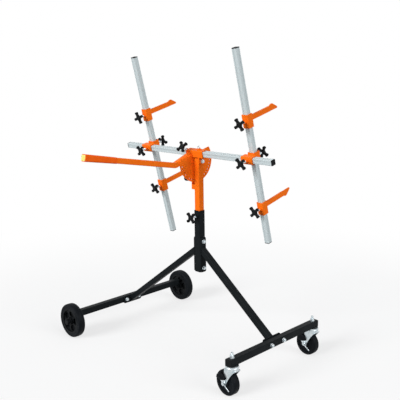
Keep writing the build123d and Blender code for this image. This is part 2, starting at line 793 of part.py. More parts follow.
# Tilting head: a sleeve for the rail with an ear beside the post and weld nuts for its two screws
edge_reach = sleeve_side / sqrt(2) - (sqrt(2) - 1) * tube_corner
rail_edge = rail_side / sqrt(2) - (sqrt(2) - 1) * rail_corner
head_knob_face = shifted(rail, Plane.XY, head_knob_x).rotated((45, 0, 0)).offset(edge_reach)
set_screw_face = shifted(rail, Plane.XY, set_screw_x, 0, sleeve_side / 2)
sleeve_gap = sleeve_wall + slide_clearance
with BuildPart() as tilt_head:
    with BuildSketch(shifted(head, Plane.YZ, post_side / 2 + head_gap)):
        Circle(ear_radius)
        with Locations((0, disc_top - ear_radius / 2)):
            Rectangle(sleeve_side, ear_radius)
        make_hull()
        Circle(pivot_hole, mode=Mode.SUBTRACT)
    extrude(amount=ear_thickness)
    with BuildSketch(shifted(rail, Plane.YZ, head_left)):
        tube_section(sleeve_side, sleeve_wall, tube_corner)
    extrude(amount=head_right - head_left)
    knob_boss(head_knob_face, edge_reach - rail_edge, tube_corner)
    knob_boss(set_screw_face, sleeve_gap)
write(tilt_head, "tilt_head")
clamp_knob("head_knob", head_knob_face, edge_reach - rail_edge, 40)

with BuildPart() as rail_set_screw:
    with BuildSketch(set_screw_face.offset(screw_tip_gap - sleeve_gap)):
        Circle(screw_diameter / 2)
    extrude(amount=set_screw_length)
write(rail_set_screw, "rail_set_screw")

# Index disc: flat plate notched round the sleeve and welded to it, its ring of holes centred on the pivot
index_arc = index_step * (index_holes - 1)
with BuildPart() as index_disc:
    with BuildSketch(shifted(head, Plane.YZ, -disc_back)):
        Circle(disc_radius)
        with Locations((0, disc_top + disc_shoulder + disc_radius)):
            Rectangle(2 * disc_radius, 2 * disc_radius, mode=Mode.SUBTRACT)
        with Locations((0, disc_top + disc_radius)):
            Rectangle(sleeve_side, 2 * disc_radius, mode=Mode.SUBTRACT)
        Circle(pivot_hole, mode=Mode.SUBTRACT)
        with PolarLocations(index_radius, index_holes, -90 - index_arc / 2, index_arc, endpoint=True):
            Circle(index_hole_diameter / 2, mode=Mode.SUBTRACT)
    extrude(amount=disc_thickness)
write(index_disc, "index_disc")

# Handle: bent square tube lapped on the disc, its inner end flush on the sleeve
handle_plane = shifted(head, Plane.YZ, -disc_back - handle_side / 2)
handle_root = Vector(-sleeve_side / 2, handle_root_rise)
handle_bend = Vector(-handle_bend_out, handle_bend_rise)
handle_end = Vector(-handle_end_out, handle_end_rise)
inside_sleeve = handle_root + (handle_root - handle_bend).normalized() * handle_side
with BuildPart() as tilt_handle:
    with BuildLine(handle_plane) as handle_path:
        corners = [tuple(point) for point in (inside_sleeve, handle_bend, handle_end)]
        FilletPolyline(*corners, radius=handle_bend_radius)
    with BuildSketch(Plane(handle_path.line @ 0, x_dir=(1, 0, 0), z_dir=handle_path.line % 0)):
        tube_section(handle_side, handle_wall, tube_corner)
    sweep()
    split(bisect_by=shifted(head, Plane.XZ, 0, -sleeve_side / 2), keep=Keep.TOP)
write(tilt_handle, "tilt_handle")

handle_tip = Plane(handle_path.line @ 1, x_dir=(1, 0, 0), z_dir=handle_path.line % 1)
with BuildPart() as handle_grip:
    with BuildSketch(handle_tip.offset(-grip_length)):
        RectangleRounded(grip_inner_side, grip_inner_side, grip_corner)
    with BuildSketch(handle_tip):
        RectangleRounded(grip_outer_side, grip_outer_side, grip_corner)
    loft()
    with BuildSketch(handle_tip):
        RectangleRounded(handle_side + 2 * grip_fit, handle_side + 2 * grip_fit, tube_corner)
    extrude(amount=-grip_length, mode=Mode.SUBTRACT)
write(handle_grip, "handle_grip")

with BuildPart() as handle_plug:
    end_plug(handle_tip, handle_side, handle_wall, tube_corner)
write(handle_plug, "handle_plug")

# Cross rail of grooved square aluminium tube, with a plug in each end
with BuildPart() as cross_rail:
    with BuildSketch(shifted(rail, Plane.YZ, rail_left)):
        rail_section()
    extrude(amount=rail_right - rail_left)
write(cross_rail, "cross_rail")

with BuildPart() as rail_plugs:
    for side, x in ((Plane.YZ, rail_right), (Plane.ZY, rail_left)):
        end_plug(shifted(rail, side, x), rail_side, rail_wall, rail_corner)
write(rail_plugs, "rail_plugs")


def cross_clamp(name, x, rail_turn, upright_turn):
    """Two welded sleeves at right angles, one along the rail and one along the upright, with knobs."""
    rail_face = shifted(rail, Plane.XZ, x, -sleeve_side / 2)
    upright_face = shifted(rail, Plane.ZX, x, upright_sleeve_n + upright_sleeve_side / 2)
    upright_gap = upright_sleeve_n + upright_sleeve_side / 2 - upright_n - rail_side / 2
    with BuildPart() as clamp:
        with BuildSketch(shifted(rail, Plane.YZ, x - cross_sleeve_length / 2)):
            tube_section(sleeve_side, sleeve_wall, tube_corner)
        extrude(amount=cross_sleeve_length)
        with BuildSketch(shifted(rail, Plane.XY, x, upright_sleeve_n, -upright_sleeve_height / 2)):
            tube_section(upright_sleeve_side, upright_sleeve_wall, tube_corner)
        extrude(amount=upright_sleeve_height)
        knob_boss(rail_face, sleeve_gap)
        knob_boss(upright_face, upright_gap)
    write(clamp, f"{name}_cross_clamp")
    clamp_knob(f"{name}_rail_knob", rail_face, sleeve_gap, rail_turn)
    clamp_knob(f"{name}_upright_knob", upright_face, upright_gap, upright_turn)


def upright(name, x, top, length):
    """Grooved square aluminium tube in the cross clamp's sleeve, with a thin cap on each end."""
    bottom = top - length
    with BuildPart() as tube:
        with BuildSketch(shifted(rail, Plane.XY, x, upright_n, bottom)):
            rail_section()
        extrude(amount=length)
    write(tube, f"{name}_upright")
    with BuildPart() as caps:
        for side, height in ((Plane.XY, top), (Plane.YX, bottom)):
            end_plug(shifted(rail, side, x, upright_n, height), rail_side, rail_wall, rail_corner)
    write(caps, f"{name}_upright_caps")


def panel_arm(name, x, height, taper, turn):
    """Sleeve on an upright with a flat finger towards the panel, pressed thinner and taller at its tip."""
    knob_face = shifted(rail, Plane.XZ, x, upright_n - sleeve_side / 2, height)
    finger_start = upright_n + sleeve_side / 2
    tip_start = finger_start + finger_length - tip_length
    side_view = shifted(rail, Plane.YZ, x, 0, height + finger_rise)
    with BuildPart() as arm:
        with BuildSketch(shifted(rail, Plane.XY, x, upright_n, height - arm_sleeve_height / 2)):
            tube_section(sleeve_side, sleeve_wall, tube_corner)
        extrude(amount=arm_sleeve_height)
        with BuildSketch(side_view):
            with Locations(((finger_start + tip_start) / 2, 0)):
                Rectangle(tip_start - finger_start, finger_height)
        extrude(amount=finger_thickness / 2, both=True)
        with BuildSketch(side_view):
            with BuildLine():
                base = -taper * finger_height / 2
                Polyline(
                    (tip_start, base),
                    (tip_start + tip_length, base),
                    (tip_start + tip_length, base + taper * tip_end_height),
                    (tip_start + tip_length - tip_bevel, base + taper * tip_height),
                    (tip_start + tip_flare, base + taper * tip_height),
                    (tip_start, base + taper * finger_height),
                    close=True,
                )
            tip = make_face()
            fillet(tip.vertices().sort_by(Axis.X)[-2:], tip_round)
        extrude(amount=tip_thickness / 2, both=True)
        knob_boss(knob_face, sleeve_gap)
    write(arm, f"{name}_arm")
    clamp_knob(f"{name}_arm_knob", knob_face, sleeve_gap, turn)


cross_clamp("left", left_upright_x, 45, 15)
cross_clamp("right", right_upright_x, 42, 30)
upright("left", left_upright_x, left_upright_top, left_upright_length)
upright("right", right_upright_x, right_upright_top, right_upright_length)
panel_arm("upper_left", left_upright_x, arm_heights["upper_left"], 1, 20)
panel_arm("lower_left", left_upright_x, arm_heights["lower_left"], -1, 40)
panel_arm("upper_right", right_upright_x, arm_heights["upper_right"], 1, 30)
panel_arm("lower_right", right_upright_x, arm_heights["lower_right"], -1, 42)
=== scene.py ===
import json
import math

import bmesh
import bpy
from mathutils import Matrix, Vector


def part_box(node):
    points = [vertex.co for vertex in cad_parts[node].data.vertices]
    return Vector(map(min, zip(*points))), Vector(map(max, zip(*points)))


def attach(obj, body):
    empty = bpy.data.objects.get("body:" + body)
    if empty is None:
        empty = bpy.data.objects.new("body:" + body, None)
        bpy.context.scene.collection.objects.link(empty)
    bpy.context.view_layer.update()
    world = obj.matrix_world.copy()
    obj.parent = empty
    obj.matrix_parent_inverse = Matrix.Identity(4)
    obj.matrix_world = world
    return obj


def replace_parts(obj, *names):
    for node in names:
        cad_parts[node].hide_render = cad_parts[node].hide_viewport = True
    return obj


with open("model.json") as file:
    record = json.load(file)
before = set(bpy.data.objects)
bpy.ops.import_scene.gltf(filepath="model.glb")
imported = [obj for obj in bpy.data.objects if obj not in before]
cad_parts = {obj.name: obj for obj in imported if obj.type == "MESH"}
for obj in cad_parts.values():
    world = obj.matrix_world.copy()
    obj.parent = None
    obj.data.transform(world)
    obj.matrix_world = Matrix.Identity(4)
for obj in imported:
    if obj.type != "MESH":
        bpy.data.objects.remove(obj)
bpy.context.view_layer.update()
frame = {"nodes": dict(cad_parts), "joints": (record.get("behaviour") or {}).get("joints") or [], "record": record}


# Camera: a long lens almost three metres away, about level with the tops of the uprights,
# looking along the diagonal of the base and rolled by less than one degree.
scene = bpy.context.scene
camera_azimuth = math.radians(45.52)
camera_elevation = math.radians(11.80)
camera_roll = math.radians(-0.78)
camera_distance = 2.7832
camera_target = Vector((0.0021, 0.0021, 0.6432))
camera_lens = 60.21
film_width = 36.0

back = Vector((
    math.sin(camera_azimuth) * math.cos(camera_elevation),
    -math.cos(camera_azimuth) * math.cos(camera_elevation),
    math.sin(camera_elevation),
))
level = Vector((math.cos(camera_azimuth), math.sin(camera_azimuth), 0.0))
upward = back.cross(level)
right = level * math.cos(camera_roll) + upward * math.sin(camera_roll)
turned_basis = Matrix((right, back.cross(right), back)).transposed()
camera = bpy.data.objects.new("camera", bpy.data.cameras.new("camera"))
camera.data.lens = camera_lens
camera.data.sensor_width = film_width
camera_place = Matrix.Translation(camera_target + back * camera_distance)
camera.matrix_world = camera_place @ turned_basis.to_4x4()
scene.collection.objects.link(camera)
scene.camera = camera


# Studio: a white room for the camera and for reflections, a softer level for diffuse light,
# one broad key light on the handle's side, and a weak fill from the caster end.
scene.view_settings.view_transform = "Standard"


def studio_sun(name, towards_light, strength, softness):
    """A broad lamp that shines from the given direction."""
    lamp = bpy.data.objects.new(name, bpy.data.lights.new(name, "SUN"))
    lamp.data.energy = strength
    lamp.data.angle = math.radians(softness)
    lamp.rotation_euler = Vector(towards_light).to_track_quat("Z", "Y").to_euler()
    scene.collection.objects.link(lamp)


studio_sun("key_light", (-0.12, -0.92, 0.37), strength=2.9, softness=28.0)
studio_sun("fill_light", (0.88, 0.08, 0.40), strength=1.7, softness=40.0)


def seen_straight(tree):
    """One for what the camera, a mirror or glass sees, and nought for diffuse light."""
    rays = tree.nodes.new("ShaderNodeLightPath")
    mirrored = tree.nodes.new("ShaderNodeMath")
    mirrored.operation = "MAXIMUM"
    viewed = tree.nodes.new("ShaderNodeMath")
    viewed.operation = "MAXIMUM"
    tree.links.new(rays.outputs["Is Glossy Ray"], mirrored.inputs[0])
    tree.links.new(rays.outputs["Is Transmission Ray"], mirrored.inputs[1])
    tree.links.new(mirrored.outputs[0], viewed.inputs[0])
    tree.links.new(rays.outputs["Is Camera Ray"], viewed.inputs[1])
    return viewed.outputs[0]


room = bpy.data.worlds.new("white_room")
scene.world = room
room.use_nodes = True
sky = room.node_tree
sky.nodes.clear()
ambient = sky.nodes.new("ShaderNodeBackground")
ambient.inputs["Color"].default_value = (0.94, 0.97, 1.0, 1.0)
ambient.inputs["Strength"].default_value = 0.32
white = sky.nodes.new("ShaderNodeBackground")
white.inputs["Color"].default_value = (1.0, 1.0, 1.0, 1.0)
white.inputs["Strength"].default_value = 1.0
sky_mix = sky.nodes.new("ShaderNodeMixShader")
sky_out = sky.nodes.new("ShaderNodeOutputWorld")
sky.links.new(seen_straight(sky), sky_mix.inputs["Fac"])
sky.links.new(ambient.outputs[0], sky_mix.inputs[1])
sky.links.new(white.outputs[0], sky_mix.inputs[2])
sky.links.new(sky_mix.outputs[0], sky_out.inputs["Surface"])


# Floor: a plain pale sheet under the wheels that keeps a light shadow.
# Most of what the camera sees of it is plain white, and all of it further out,
# so it has no edge.
floor_half = 9.0
shadow_reach = 0.9
white_reach = 2.4
near_white = 0.65
floor_mesh = bpy.data.meshes.new("studio_floor")
floor_shape = bmesh.new()
bmesh.ops.create_grid(floor_shape, x_segments=1, y_segments=1, size=floor_half)
floor_shape.to_mesh(floor_mesh)
floor_shape.free()
floor = bpy.data.objects.new("studio_floor", floor_mesh)
scene.collection.objects.link(floor)
floor_material = bpy.data.materials.new("pale_floor")
floor_material.use_nodes = True
floor_tree = floor_material.node_tree
floor_tree.nodes.clear()
floor_paint = floor_tree.nodes.new("ShaderNodeBsdfDiffuse")
floor_paint.inputs["Color"].default_value = (0.97, 0.97, 0.97, 1.0)
floor_glow = floor_tree.nodes.new("ShaderNodeEmission")
floor_glow.inputs["Strength"].default_value = 1.0
floor_seen = floor_tree.nodes.new("ShaderNodeMixShader")
floor_place = floor_tree.nodes.new("ShaderNodeTexCoord")
floor_way = floor_tree.nodes.new("ShaderNodeVectorMath")
floor_way.operation = "LENGTH"
floor_fade = floor_tree.nodes.new("ShaderNodeMapRange")
floor_fade.interpolation_type = "SMOOTHSTEP"
floor_fade.inputs["From Min"].default_value = shadow_reach
floor_fade.inputs["From Max"].default_value = white_reach
floor_fade.inputs["To Min"].default_value = near_white
floor_fade.inputs["To Max"].default_value = 1.0
floor_tree.links.new(floor_place.outputs["Object"], floor_way.inputs[0])
floor_tree.links.new(floor_way.outputs["Value"], floor_fade.inputs["Value"])
floor_tree.links.new(floor_fade.outputs["Result"], floor_seen.inputs["Fac"])
floor_bounce = floor_tree.nodes.new("ShaderNodeBsdfDiffuse")
floor_bounce.inputs["Color"].default_value = (0.30, 0.30, 0.30, 1.0)
floor_mix = floor_tree.nodes.new("ShaderNodeMixShader")
floor_out = floor_tree.nodes.new("ShaderNodeOutputMaterial")
floor_tree.links.new(floor_paint.outputs[0], floor_seen.inputs[1])
floor_tree.links.new(floor_glow.outputs[0], floor_seen.inputs[2])
floor_tree.links.new(seen_straight(floor_tree), floor_mix.inputs["Fac"])
floor_tree.links.new(floor_bounce.outputs[0], floor_mix.inputs[1])
floor_tree.links.new(floor_seen.outputs[0], floor_mix.inputs[2])
floor_tree.links.new(floor_mix.outputs[0], floor_out.inputs["Surface"])
floor.data.materials.append(floor_material)


# Black steel base: two crossbars, two sloping legs with welded plates, and the mast tube,
# all of square tube with a satin black powder coat that has a fine orange-peel skin.
def finish_nodes(name):
    """A new material with its principled shader, ready for texture nodes."""
    material = bpy.data.materials.new(name)
    material.use_nodes = True
    tree = material.node_tree
    return material, tree, tree.nodes["Principled BSDF"]


def grain(tree, scale, detail=3.0, stretch=None, turn=(0.0, 0.0, 0.0)):
    """Noise on the piece's coordinates, in cells per metre, stretched on turned axes if asked."""
    place = tree.nodes.new("ShaderNodeTexCoord")
    noise = tree.nodes.new("ShaderNodeTexNoise")
    noise.inputs["Scale"].default_value = scale
    noise.inputs["Detail"].default_value = detail
    if stretch is None:
        tree.links.new(place.outputs["Object"], noise.inputs["Vector"])
    else:
        align = tree.nodes.new("ShaderNodeMapping")
        align.vector_type = "TEXTURE"
        align.inputs["Rotation"].default_value = turn
        align.inputs["Scale"].default_value = stretch
        tree.links.new(place.outputs["Object"], align.inputs["Vector"])
        tree.links.new(align.outputs["Vector"], noise.inputs["Vector"])
    return noise.outputs["Fac"]


def spread(tree, value, low, high):
    """Maps a noise value to a range of a shader number."""
    ranged = tree.nodes.new("ShaderNodeMapRange")
    ranged.inputs["From Min"].default_value = 0.3
    ranged.inputs["From Max"].default_value = 0.7
    ranged.inputs["To Min"].default_value = low
    ranged.inputs["To Max"].default_value = high
    tree.links.new(value, ranged.inputs["Value"])
    return ranged.outputs["Result"]


def two_tone(tree, value, first, second):
    """Blends two close colours by a noise value."""
    ramp = tree.nodes.new("ShaderNodeValToRGB")
    ramp.color_ramp.elements[0].position = 0.35
    ramp.color_ramp.elements[0].color = (*first, 1.0)
    ramp.color_ramp.elements[1].position = 0.65
    ramp.color_ramp.elements[1].color = (*second, 1.0)
    tree.links.new(value, ramp.inputs["Fac"])
    return ramp.outputs["Color"]


def relief(tree, shader, height, distance, strength=1.0, edge=0.0007):
    """Raises the surface by a noise value, in metres, and rounds its edges a little."""
    bump = tree.nodes.new("ShaderNodeBump")
    bump.inputs["Distance"].default_value = distance
    bump.inputs["Strength"].default_value = strength
    soft_edge = tree.nodes.new("ShaderNodeBevel")
    soft_edge.samples = 4
    soft_edge.inputs["Radius"].default_value = edge
    tree.links.new(soft_edge.outputs["Normal"], bump.inputs["Normal"])
    tree.links.new(height, bump.inputs["Height"])
    tree.links.new(bump.outputs["Normal"], shader.inputs["Normal"])


def powder_coat(name, thin, thick, shine, gloss):
    """Baked powder paint: slight colour clouds, an orange-peel skin and uneven gloss."""
    material, tree, shader = finish_nodes(name)
    clouds = two_tone(tree, grain(tree, 22.0, 5.0), thin, thick)
    uneven = spread(tree, grain(tree, 60.0), shine - 0.05, shine + 0.07)
    tree.links.new(clouds, shader.inputs["Base Color"])
    tree.links.new(uneven, shader.inputs["Roughness"])
    shader.inputs["Specular IOR Level"].default_value = gloss
    relief(tree, shader, grain(tree, 620.0, 2.0), 0.00025, 0.35)
    return material


def dress(names, material):
    """Puts a material in the slots of CAD nodes."""
    for name in names:
        for slot in frame["nodes"][name].material_slots:
            slot.material = material


black_coat = powder_coat("black_powder_coat", (0.0050, 0.0068, 0.0078), (0.0080, 0.0102, 0.0115),
                         shine=0.44, gloss=0.05)
dress(("front_crossbar", "rear_crossbar", "front_leg", "rear_leg", "mast_tube"), black_coat)


# Base welds: painted beads round the sloping legs where they meet their plates,
# round the axle plates at the ends of the rear crossbar, and round the mast's weld nut.
def verts_of(parts):
    """The corner points among the parts that an operator gives back."""
    return [part for part in parts if isinstance(part, bmesh.types.BMVert)]


def weld_bead(shape, start, end, width):
    """A run of weld between two points: a ridge whose ripples follow the torch."""
    start, end = Vector(start), Vector(end)
    run = end - start
    steps = max(2, round(run.length / (0.45 * width)))
    place = Matrix.Translation(start) @ run.to_track_quat("Z", "X").to_matrix().to_4x4()
    radii = [0.3] + [0.5 if ripple % 2 else 0.4 for ripple in range(1, steps)] + [0.3]
    disc = bmesh.ops.create_circle(shape, cap_ends=True, segments=8, radius=radii[0] * width,
                                   matrix=place)
    cap = disc["verts"][0].link_faces[0]
    for step in range(steps):
        grown = bmesh.ops.extrude_face_region(shape, geom=[cap], use_keep_orig=step == 0)["geom"]
        ring = verts_of(grown)
        cap = next(part for part in grown if isinstance(part, bmesh.types.BMFace))
        bmesh.ops.translate(shape, vec=run / steps, verts=ring)
        middle = start + run * (step + 1) / steps
        growth = radii[step + 1] / radii[step]
        bmesh.ops.scale(shape, vec=(growth, growth, growth), space=Matrix.Translation(-middle),
                        verts=ring)


def weld_frame(shape, corners, width):
    """Beads along the sides of a closed outline."""
    for corner, following in zip(corners, corners[1:] + corners[:1]):
        weld_bead(shape, corner, following, width)


quarter_turn = Matrix.Rotation(math.pi / 2, 4, "X")
nut_weld_radius = 0.0078
nut_bead = 0.0026


def nut_weld(shape, place):
    """A round bead about the local Z axis of a place, where a weld nut stands."""
    section = place @ Matrix.Translation((nut_weld_radius, 0.0, 0.0)) @ quarter_turn
    loop = bmesh.ops.create_circle(shape, segments=6, radius=nut_bead / 2, matrix=section)["verts"]
    edges = list({edge for vert in loop for edge in vert.link_edges})
    bmesh.ops.spin(shape, geom=loop + edges, cent=place.translation, axis=place.to_3x3().col[2],
                   dvec=(0, 0, 0), angle=2 * math.pi, steps=20, use_merge=True)


def set_piece(name, shape, material, body, sharp=40.0):
    """Makes the finished shape an object, with its finish, that moves with a body."""
    bmesh.ops.recalc_face_normals(shape, faces=shape.faces)
    mesh = bpy.data.meshes.new(name)
    shape.to_mesh(mesh)
    shape.free()
    mesh.materials.append(material)
    mesh.shade_smooth()
    mesh.set_sharp_from_angle(angle=math.radians(sharp))
    piece = bpy.data.objects.new(name, mesh)
    scene.collection.objects.link(piece)
    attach(piece, body)
    return piece


joints = {joint["name"]: joint for joint in frame["joints"]}


def joint_place(name):
    """Where the axis of a joint stands at rest."""
    return Vector(joints[name]["pos_m"])


leg_half = 0.0125
leg_bead = 0.0042
leg_top_height = 0.428
plate_and_lift = 0.0044
front_bar_low, front_bar_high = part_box("front_crossbar")
bar_half = (front_bar_high.z - front_bar_low.z) / 2
front_bar_height = front_bar_low.z + bar_half
rear_bar_low, rear_bar_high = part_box("rear_crossbar")
rear_bar_height = rear_bar_high.z - bar_half
front_leg_low, front_leg_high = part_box("front_leg")
rear_leg_low, rear_leg_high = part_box("rear_leg")
bar_end_bead = 0.0028
bar_end_lift = 0.0002
bar_end_side = 0.3046
bar_end_front, bar_end_back = rear_bar_high.x + bar_end_lift, rear_bar_low.x - bar_end_lift
bar_end_low = rear_bar_high.z - 2 * bar_half - bar_end_lift
bar_end_high = rear_bar_high.z - bar_end_lift
nut_bead_lift = Vector((0.0, -0.0001, 0.0))
mast_nut_place = Matrix.Translation(joint_place("mast_knob_turn") + nut_bead_lift)
base_welds = bmesh.new()
for plate_x, tube_middle, tube_half in (
        (front_leg_low.x + plate_and_lift, leg_top_height, 0.0163),
        (front_leg_high.x - plate_and_lift, front_bar_height, 0.0162),
        (rear_leg_high.x - plate_and_lift, leg_top_height, 0.0158),
        (rear_leg_low.x + plate_and_lift, rear_bar_height, 0.0158)):
    lower, upper = tube_middle - tube_half, tube_middle + tube_half
    weld_frame(base_welds, [(plate_x, -leg_half, lower), (plate_x, leg_half, lower),
                            (plate_x, leg_half, upper), (plate_x, -leg_half, upper)], leg_bead)
for plate_y in (-bar_end_side, bar_end_side):
    weld_frame(base_welds, [(bar_end_back, plate_y, bar_end_low),
                            (bar_end_front, plate_y, bar_end_low),
                            (bar_end_front, plate_y, bar_end_high),
                            (bar_end_back, plate_y, bar_end_high)], bar_end_bead)
nut_weld(base_welds, mast_nut_place @ quarter_turn)
set_piece("base_welds", base_welds, black_coat, "base")


# Bright hardware: bolts, nuts, washers, caster stems, forks and brakes of zinc-plated steel,
# bluish silver with faint cloudy patches left by the plating bath.
def zinc_plate(name):
    """Zinc plating: clouded bluish silver with a fine drawn grain."""
    material, tree, shader = finish_nodes(name)
    shader.inputs["Metallic"].default_value = 1.0
    clouds = two_tone(tree, grain(tree, 70.0, 6.0), (0.51, 0.58, 0.61), (0.66, 0.71, 0.73))
    tree.links.new(clouds, shader.inputs["Base Color"])
    tree.links.new(spread(tree, grain(tree, 180.0, 4.0), 0.24, 0.42), shader.inputs["Roughness"])
    relief(tree, shader, grain(tree, 1500.0, 2.0), 0.0001, 0.3)
    return material


zinc = zinc_plate("zinc_plate")
dress(("mast_bolts", "leg_bolts", "pivot_bolt", "rail_set_screw", "plunger_body", "index_pin",
       "index_spring", "caster_stems", "caster_stem_nuts", "left_caster_fork", "right_caster_fork",
       "left_caster_axle", "right_caster_axle", "left_caster_brake", "right_caster_brake"), zinc)


# Threads that show past the nuts: rolled ridges on the caster stems above the front bar
# and on the ends of the bolts through the mast and the crossbars.
def thread(shape, start, along, radius, length, pitch, depth):
    """A rolled thread: one tooth spun up the rod, closed at both ends."""
    along = Vector(along).normalized()
    place = Matrix.Translation(Vector(start)) @ along.to_track_quat("Z", "X").to_matrix().to_4x4()
    turns = max(1, round(length / pitch))
    sides = 14
    root = radius - depth
    tooth = [shape.verts.new(place @ Vector((reach, 0.0, rise)))
             for reach, rise in ((root, 0.0), (radius, 0.5 * pitch), (root, pitch))]
    flanks = [shape.edges.new(tooth[:2]), shape.edges.new(tooth[1:])]
    before = set(shape.verts) - set(tooth)
    bmesh.ops.spin(shape, geom=tooth + flanks, cent=place.translation, axis=along,
                   dvec=along * (pitch / sides), angle=2 * math.pi * turns, steps=sides * turns,
                   use_merge=False)
    spun = [vert for vert in shape.verts if vert not in before]
    bmesh.ops.remove_doubles(shape, verts=spun, dist=1e-5)
    rims = [edge for edge in shape.edges if edge.is_boundary]
    bmesh.ops.holes_fill(shape, edges=rims, sides=0)


bolt_radius = 0.00418
bolt_pitch = 0.00125
bolt_tooth = 0.0004
bolt_thread = 0.0034
bolt_tip = 0.0036
stem_pitch = 0.0015
stem_nut_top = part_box("caster_stem_nuts")[1].z
base_threads = bmesh.new()
for side in ("left", "right"):
    stem_place = joint_place(f"{side}_caster_swivel")
    thread(base_threads, (stem_place.x, stem_place.y, stem_nut_top - stem_pitch), (0, 0, 1),
           radius=0.00522, length=0.0105, pitch=stem_pitch, depth=0.0005)
mast_bolt_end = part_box("mast_bolts")[1].x - bolt_tip
leg_bolts_low, leg_bolts_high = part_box("leg_bolts")
bolt_ends = [((mast_bolt_end, 0.0, bolt_z), (1, 0, 0)) for bolt_z in (0.353, 0.468)]
for bolt_y in (-0.036, 0.036):
    bolt_ends.append(((leg_bolts_high.x - bolt_tip, bolt_y, front_bar_height), (1, 0, 0)))
    bolt_ends.append(((leg_bolts_low.x + bolt_tip, bolt_y, rear_bar_height), (-1, 0, 0)))
for start, along in bolt_ends:
    thread(base_threads, start, along, bolt_radius, bolt_thread, bolt_pitch, bolt_tooth)
set_piece("base_threads", base_threads, zinc, "base")


# Tube plugs: black moulded caps, matt with the fine grain of the mould,
# pressed into the open ends of the front bar, the rail and the uprights.
def moulded(name, first, second, shine, cell, depth):
    """Moulded plastic or rubber: faint colour clouds, an even grain and a soft shine."""
    material, tree, shader = finish_nodes(name)
    clouds = two_tone(tree, grain(tree, 35.0, 4.0), first, second)
    uneven = spread(tree, grain(tree, 120.0), shine - 0.06, shine + 0.08)
    tree.links.new(clouds, shader.inputs["Base Color"])
    tree.links.new(uneven, shader.inputs["Roughness"])
    shader.inputs["Specular IOR Level"].default_value = 0.06
    relief(tree, shader, grain(tree, cell, 2.0), depth, 0.4)
    return material


black_plastic = moulded("black_plastic", (0.0056, 0.0064, 0.0072), (0.0086, 0.0096, 0.0106),
                        shine=0.48, cell=800.0, depth=0.00015)
dress(("tube_plugs", "rail_plugs", "left_upright_caps", "right_upright_caps"), black_plastic)


# Rear wheels: solid rubber tyres with a raised shoulder line and a thin parting seam, pressed on
# moulded black hubs with five openings round the boss. A thin black disc half-way in is painted
# shade: it darkens the openings, which stand open on the real hub.
# They run on blackened axle bolts, with caps over the nuts.
def turned(points, axis, steps, closed):
    """A section spun about an axis through the origin, its own outline closed or left open."""
    shape = bmesh.new()
    section = [shape.verts.new(point) for point in points]
    following = section[1:] + section[:1] if closed else section[1:]
    outline = [shape.edges.new(pair) for pair in zip(section, following)]
    bmesh.ops.spin(shape, geom=section + outline, cent=(0, 0, 0), axis=axis, dvec=(0, 0, 0),
                   angle=2 * math.pi, steps=steps, use_merge=True)
    return shape


def turned_wheel(half_section, steps):
    """A wheel about Y, from one half of its section as pairs of radius and distance across."""
    points = [(reach, across, 0.0) for reach, across in half_section]
    wheel = turned(points, (0, 1, 0), steps, closed=False)
    bmesh.ops.mirror(wheel, geom=wheel.verts[:] + wheel.edges[:] + wheel.faces[:], axis="Y",
                     merge_dist=1e-6)
    return wheel


tyre_rubber = moulded("tyre_rubber", (0.0030, 0.0042, 0.0056), (0.0052, 0.0066, 0.0084),
                      shine=0.52, cell=420.0, depth=0.0003)
tyre_half_section = ((0.0561, 0.0), (0.0561, 0.0166), (0.0566, 0.0170), (0.0615, 0.0170),
                     (0.0622, 0.0164), (0.0639, 0.0164), (0.0646, 0.0169), (0.0690, 0.0168),
                     (0.0722, 0.0161), (0.0741, 0.0147), (0.0752, 0.0124), (0.0757, 0.0094),
                     (0.0758, 0.0050), (0.0758, 0.0008), (0.0760, 0.0004), (0.0760, 0.0))
# Section of the thin black disc in each hub: painted shade that darkens the openings round the boss.
shade_disc_section = ((0.0160, -0.0012), (0.0510, -0.0012), (0.0510, 0.0012), (0.0160, 0.0012))
for side in ("left", "right"):
    hub_middle = joint_place(f"rear_{side}_wheel_spin")
    wheel_body = f"rear_{side}_wheel"
    tyre = turned_wheel(tyre_half_section, steps=96)
    bmesh.ops.translate(tyre, vec=hub_middle, verts=tyre.verts)
    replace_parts(set_piece(f"rear_{side}_rubber", tyre, tyre_rubber, wheel_body),
                f"rear_{side}_tyre")
    # Painted shade: this disc closes the hub's openings half-way in, which stand open on the real hub.
    shade_disc = turned([(reach, across, 0.0) for reach, across in shade_disc_section], (0, 1, 0),
                 steps=64, closed=True)
    bmesh.ops.translate(shade_disc, vec=hub_middle, verts=shade_disc.verts)
    set_piece(f"rear_{side}_web", shade_disc, black_plastic, wheel_body)
dress(("rear_left_hub", "rear_right_hub", "rear_axle_caps"), black_plastic)
dress(("rear_axle_bolts",), black_coat)


# Casters: pressed zinc forks under a ball race, each with a one-piece dark rubber wheel
# whose web is stepped in from a rounded tread, and a thin zinc brake lever on the axle bolt
# with a ribbed black pedal moulded on it.
caster_rubber = moulded("caster_rubber", (0.0034, 0.0046, 0.0062), (0.0058, 0.0074, 0.0092),
                        shine=0.46, cell=500.0, depth=0.0002)
wheel_half_section = ((0.0041, 0.0), (0.0041, 0.0146), (0.0045, 0.0150), (0.0138, 0.0150),
                      (0.0146, 0.0145), (0.0152, 0.0118), (0.0166, 0.0092), (0.0190, 0.0085),
                      (0.0345, 0.0085), (0.0366, 0.0093), (0.0376, 0.0118), (0.0386, 0.0133),
                      (0.0400, 0.0135), (0.0466, 0.0135), (0.0484, 0.0130), (0.0495, 0.0117),
                      (0.0500, 0.0098), (0.0500, 0.0))
race_section = ((0.0240, 0.1140), (0.0251, 0.1140), (0.0260, 0.1148), (0.0264, 0.1160),
                (0.0264, 0.1175), (0.0260, 0.1187), (0.0250, 0.1195), (0.0240, 0.1195))
lever_outline = ((0.0400, 0.0115), (0.0176, 0.0055), (-0.0015, -0.0115), (-0.0235, -0.0255),
                 (-0.0265, -0.0242), (-0.0258, -0.0215), (-0.0065, -0.0090), (-0.0065, 0.0170),
                 (0.0176, 0.0110), (0.0400, 0.0160))
lever_across = Matrix.Translation((0.0, 0.0188, 0.0))
